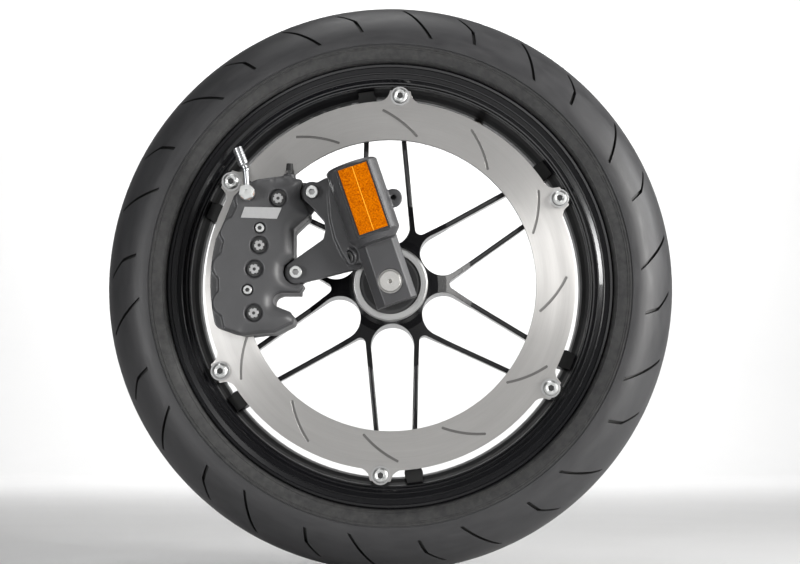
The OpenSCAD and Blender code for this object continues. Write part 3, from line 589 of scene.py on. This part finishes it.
def column_layout(a, radius):
    """Angles of one pitch's columns at crown angle a, and the groove whose floor each is on."""
    half, floor_half = GROOVE_HALF * MM / radius, GROOVE_FLOOR_HALF * MM / radius
    lip = GROOVE_LIP * MM / radius
    offsets = (-half - lip, -half, -floor_half, floor_half, half, half + lip)
    dogleg = math.radians(groove_angle(DOGLEG, a))
    slash = math.radians(groove_angle(SLASH, a))
    low = [dogleg + o for o in offsets]
    high = [slash + o for o in offsets]
    following = dogleg + PITCH + offsets[0]
    angles = low + fill_between(low[-1], high[0]) + high + fill_between(high[-1], following)
    on_floor = [0, 0, 1, 1, 0, 0] + [0] * PLAIN_COLS + [0, 0, 2, 2, 0, 0] + [0] * PLAIN_COLS
    even = [math.radians(DOGLEG["at"]) + PITCH * i / COLS for i in range(COLS)]
    bent = smooth_step(a / EVEN_UNTIL)
    return [u + (v - u) * bent for u, v in zip(even, angles)], on_floor


def tread_rows():
    """Crown angles in degrees, with rows at every groove's ends and bends."""
    rows = list(np.arange(0, 30, 3.0)) + list(np.arange(30, LAST_ROW, 2.2)) + [LAST_ROW]
    for g in (SLASH, DOGLEG):
        rows += [g["start"], g["start"] + GROOVE_LEAD, g["end"] - GROOVE_LEAD, g["end"]]
        rows.append(g["start"] + g["turn"][1][0] * (g["end"] - g["start"]))
    rows = sorted(rows)
    return [a for i, a in enumerate(rows) if i == 0 or a - rows[i - 1] > 0.25]


def wall_rows():
    """(radius, lateral) in mm from the shoulder down to the bead."""
    band = [(252.0, 60.0), (251.4, 60.0), (251.0, 59.0), (250.2, 59.0), (249.8, 59.8)]
    upper_rib = [(248.4, 59.75), (248.1, 59.3), (247.2, 59.15), (246.9, 59.5), (246.2, 59.35)]
    wall = [(245.9, 58.95), (242.0, 57.95), (238.4, 56.35)]
    lower_rib = [(236.6, 55.45), (236.3, 55.75), (235.7, 55.45), (235.4, 54.95)]
    bead = [(234.4, 54.2), (233.7, 53.0), (233.2, 50.5), (232.45, 46.6), (231.2, 44.9)]
    seat = [(228.8, 44.45), (218.35, 44.45), (218.35, 32.1)]
    return band + upper_rib + wall + lower_rib + bead + seat


def cavity_rows():
    """(radius, lateral) in mm of the inside, from the bead's toe to the middle."""
    edge, crown, half = 243.0, 47.5, 54.0
    rows = [(224.0, 34.6), (232.0, 40.5), (238.0, 48.0)]
    for degrees in range(90, -1, -10):
        a = math.radians(degrees)
        rows.append((edge + crown * math.cos(a), half * math.sin(a)))
    return rows


def all_pitches(base, shift):
    """One pitch's column angles repeated all the way round."""
    return [angle + p * PITCH + shift for p in range(PITCHES) for angle in base]


def ring(radii, side, laterals, angles):
    """One ring of points round the axle; side is 1 on the brake side and -1 on the far side."""
    return [(r * math.cos(t), side * -d, r * math.sin(t)) for r, d, t in zip(radii, laterals, angles)]


def even_ring(place, side, angles):
    """A ring whose points all have the same (radius, lateral) in mm."""
    return ring([place[0] * MM] * POINTS, side, [place[1] * MM] * POINTS, angles)


def tread_ring(a, side, shift):
    """The ring at crown angle a, sunk where it crosses a groove."""
    ca, sa = math.cos(math.radians(a)), math.sin(math.radians(a))
    radius, out = SHOULDER_R + CROWN * ca, HALF_W * sa
    normal = Vector((ca / CROWN, sa / HALF_W)).normalized()
    base, on_floor = column_layout(a, radius)
    depths = (0.0, groove_depth(DOGLEG, a), groove_depth(SLASH, a))
    sunk = [depths[g] for g in on_floor] * PITCHES
    radii = [radius - depth * normal.x for depth in sunk]
    laterals = [out - depth * normal.y for depth in sunk]
    return ring(radii, side, laterals, all_pitches(base, shift))


def half_rings(side, shift):
    """Rings from the middle outward to the bead and back inside to the middle."""
    rings = [tread_ring(a, side, shift) for a in tread_rows()]
    straight = all_pitches(column_layout(LAST_ROW, SHOULDER_R)[0], shift)
    even = all_pitches(column_layout(0.0, TYRE_R)[0], shift)
    rings += [even_ring(place, side, straight) for place in wall_rows()]
    inside = cavity_rows()
    for i, place in enumerate(inside):
        f = smooth_step((i + 1) / len(inside))
        rings.append(even_ring(place, side, [s + (e - s) * f for s, e in zip(straight, even)]))
    return rings


def tyre_mesh():
    """Both halves' rings joined into one closed skin; the far half stands half a pitch on."""
    half = COLS // 2
    near = half_rings(1, 0.0)
    far = [r[-half:] + r[:-half] for r in half_rings(-1, PITCH / 2)]
    rings = near[:-1] + list(reversed(far))[:-1]
    faces = []
    for i in range(len(rings)):
        a, b = i * POINTS, ((i + 1) % len(rings)) * POINTS
        for k in range(POINTS):
            n = (k + 1) % POINTS
            faces.append((a + k, a + n, b + n, b + k))
    mesh = bpy.data.meshes.new("tyre_treaded")
    mesh.from_pydata([point for r in rings for point in r], [], faces)
    bm = bmesh.new()
    bm.from_mesh(mesh)
    bmesh.ops.remove_doubles(bm, verts=bm.verts, dist=1e-6)
    bmesh.ops.recalc_face_normals(bm, faces=bm.faces)
    bm.to_mesh(mesh)
    bm.free()
    shade_smooth(mesh)
    mesh.set_sharp_from_angle(angle=math.radians(38))
    return mesh


replace_node("tyre_treaded", tyre_mesh(), "tyre")


# ---------- castings with rounded edges ----------

def remeshed(node, voxel_mm, passes):
    """The node's solid as an even, slightly softened mesh."""
    mesh = bpy.data.meshes.new(node + "_joined")
    bm = bmesh.new()
    bm.from_mesh(NODES[node].data)
    bmesh.ops.remove_doubles(bm, verts=bm.verts, dist=2e-6)
    bm.to_mesh(mesh)
    bm.free()
    temp = bpy.data.objects.new(node + "_temp", mesh)
    bpy.context.scene.collection.objects.link(temp)
    remesh = temp.modifiers.new("remesh", "REMESH")
    remesh.mode = "VOXEL"
    remesh.voxel_size = voxel_mm * MM
    remesh.adaptivity = 0.0
    smooth = temp.modifiers.new("smooth", "SMOOTH")
    smooth.factor = 0.5
    smooth.iterations = passes
    bpy.context.view_layer.update()
    graph = bpy.context.evaluated_depsgraph_get()
    made = bpy.data.meshes.new_from_object(temp.evaluated_get(graph))
    bpy.data.objects.remove(temp)
    bpy.data.meshes.remove(mesh)
    return made


def rounded_casting(node, voxel_mm, passes, shape=None):
    """Show the node's solid with its edges rounded, as a casting has them."""
    made = remeshed(node, voxel_mm, passes)
    if shape:
        shape(made)
    made.name = node + "_cast"
    shade_smooth(made)
    replace_node(node + "_cast", made, node)


def grown(mask):
    """The mask with each marked cell's four neighbours marked too."""
    out = mask.copy()
    out[1:] |= mask[:-1]
    out[:-1] |= mask[1:]
    out[:, 1:] |= mask[:, :-1]
    out[:, :-1] |= mask[:, 1:]
    return out


def silhouette(node, cell, depth):
    """Points (x, z) just outside a node as seen along Y, on a grid; bores are left out."""
    low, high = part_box(node)
    tree = BVHTree.FromPolygons([v.co for v in NODES[node].data.vertices],
                                [p.vertices for p in NODES[node].data.polygons])
    margin = 3
    x0, z0 = low.x - margin * cell, low.z - margin * cell
    nx = int((high.x - low.x) / cell) + 2 * margin + 1
    nz = int((high.z - low.z) / cell) + 2 * margin + 1
    solid = np.zeros((nx, nz), bool)
    for i in range(nx):
        for k in range(nz):
            start = Vector((x0 + i * cell, low.y - 10 * MM, z0 + k * cell))
            solid[i, k] = tree.ray_cast(start, Vector((0, 1, 0)), depth)[0] is not None
    outside = np.zeros_like(solid)
    outside[0, :] = outside[-1, :] = outside[:, 0] = outside[:, -1] = True
    for _ in range(nx + nz):
        outside = grown(outside) & ~solid
    i, k = np.nonzero(outside & grown(solid))
    return np.stack([x0 + i * cell, z0 + k * cell], 1)


def smooth_over(mesh, values, passes):
    """Average a value at each vertex with its neighbours, several times."""
    ends = np.zeros(len(mesh.edges) * 2, int)
    mesh.edges.foreach_get("vertices", ends)
    a, b = ends[0::2], ends[1::2]
    count = np.bincount(a, minlength=len(values)) + np.bincount(b, minlength=len(values))
    count = np.maximum(count, 1)
    for _ in range(passes):
        total = np.bincount(a, values[b], len(values)) + np.bincount(b, values[a], len(values))
        values = 0.5 * values + 0.5 * total / count
    return values


WAVY_FROM = 0.163  # the caliper's wavy edge lies farther than this from the axle
WAVY_ROUND = (3.0 * MM, 1.5 * MM)  # how wide and how deep the front face rounds over there
INNER_ROUND = (15.0 * MM, 13.0 * MM)  # and everywhere else
ROUND_REACH = 17 * MM
FACE_INSET = 1.8 * MM


def soften_caliper(mesh):
    """Round the outer half's front face over toward its inner side, less along the wavy edge."""
    cell = 1.0 * MM
    outline = silhouette("caliper_outer", cell, 34 * MM)
    face = abs(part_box("caliper_outer")[0].y) - FACE_INSET
    co = np.zeros(len(mesh.vertices) * 3)
    mesh.vertices.foreach_get("co", co)
    co = co.reshape(-1, 3)
    chosen = np.nonzero(-co[:, 1] > face - ROUND_REACH)[0]
    limit = np.full(len(co), face)
    wavy = np.hypot(outline[:, 0], outline[:, 1]) > WAVY_FROM
    for part in np.array_split(chosen, max(1, len(chosen) // 4000)):
        flat = co[part][:, None, [0, 2]] - outline[None]
        gap = np.hypot(flat[..., 0], flat[..., 1])
        near = gap.argmin(1)
        inward = gap[np.arange(len(part)), near] - cell / 2
        wide = np.where(wavy[near], WAVY_ROUND[0], INNER_ROUND[0])
        deep = np.where(wavy[near], WAVY_ROUND[1], INNER_ROUND[1])
        f = np.clip(1 - inward / wide, 0, 1)
        limit[part] = face - deep * (1 - np.sqrt(1 - f * f * 0.98))
    limit = smooth_over(mesh, limit, 25)
    co[chosen, 1] = -np.minimum(-co[chosen, 1], limit[chosen])
    mesh.vertices.foreach_set("co", co.ravel())
    mesh.update()


rounded_casting("caliper_outer", 0.95, 4, soften_caliper)
rounded_casting("caliper_inner", 1.1, 3)
rounded_casting("fork_foot_near", 0.9, 2)
rounded_casting("fork_foot_far", 1.3, 4)


# ---------- stage ----------

def add_stage():
    """Pale floor that sweeps up into a backdrop behind the wheel."""
    half_width, front, back, rise, bend, steps = 4.2, -4.5, 4.6, 3.4, 1.1, 12
    profile = [(front, 0.0), (back - bend, 0.0)]
    for i in range(1, steps + 1):
        a = math.pi / 2 * i / steps
        profile.append((back - bend + bend * math.sin(a), bend - bend * math.cos(a)))
    profile.append((back, rise))
    verts = [(x, y, FLOOR_Z + z) for y, z in profile for x in (-half_width, half_width)]
    faces = [(2 * i, 2 * i + 1, 2 * i + 3, 2 * i + 2) for i in range(len(profile) - 1)]
    mesh = bpy.data.meshes.new("floor")
    mesh.from_pydata(verts, [], faces)
    shade_smooth(mesh)
    obj = bpy.data.objects.new("floor", mesh)
    bpy.context.scene.collection.objects.link(obj)
    s = Shader("floor_pale", (0.68, 0.68, 0.68), 0.5)
    s.vary_color(s.noise(3.0), 0.985, 1.01)
    s.vary_rough(s.noise(8.0), 0.04)
    mesh.materials.append(s.mat)


def add_light(name, place, size, power, color=(1, 1, 1), target=(0, 0, 0)):
    """A soft box of this size in metres and power in watts."""
    data = bpy.data.lights.new(name, "AREA")
    data.shape = "RECTANGLE"
    data.size, data.size_y = size
    data.energy = power
    data.color = color
    obj = bpy.data.objects.new(name, data)
    bpy.context.scene.collection.objects.link(obj)
    aim(obj, place, target)


def add_lights():
    """Soft light from above and both sides, and a wash on the backdrop."""
    world = bpy.data.worlds.new("studio")
    bpy.context.scene.world = world
    world.use_nodes = True
    background = world.node_tree.nodes["Background"]
    background.inputs["Color"].default_value = (1, 1, 1, 1)
    background.inputs["Strength"].default_value = 0.08
    add_light("top_box", (-0.2, 0.05, 2.1), (2.0, 0.9), 20)
    add_light("left_box", (-1.7, -2.3, -0.05), (0.5, 0.45), 28)
    add_light("right_box", (2.1, -1.25, 0.42), (0.7, 1.4), 76, (1.0, 0.99, 0.97))
    add_light("right_edge", (1.9, 0.0, 0.75), (0.3, 1.0), 20)
    add_light("front_card", (0.15, -3.2, 0.45), (1.0, 0.8), 4.8)
    add_light("back_wash", (0.0, 2.6, 1.9), (3.0, 0.6), 98, target=(0, 4.4, 0.4))


add_stage()
add_lights()
bpy.context.scene.view_settings.view_transform = "Standard"
bpy.context.scene.view_settings.look = "None"
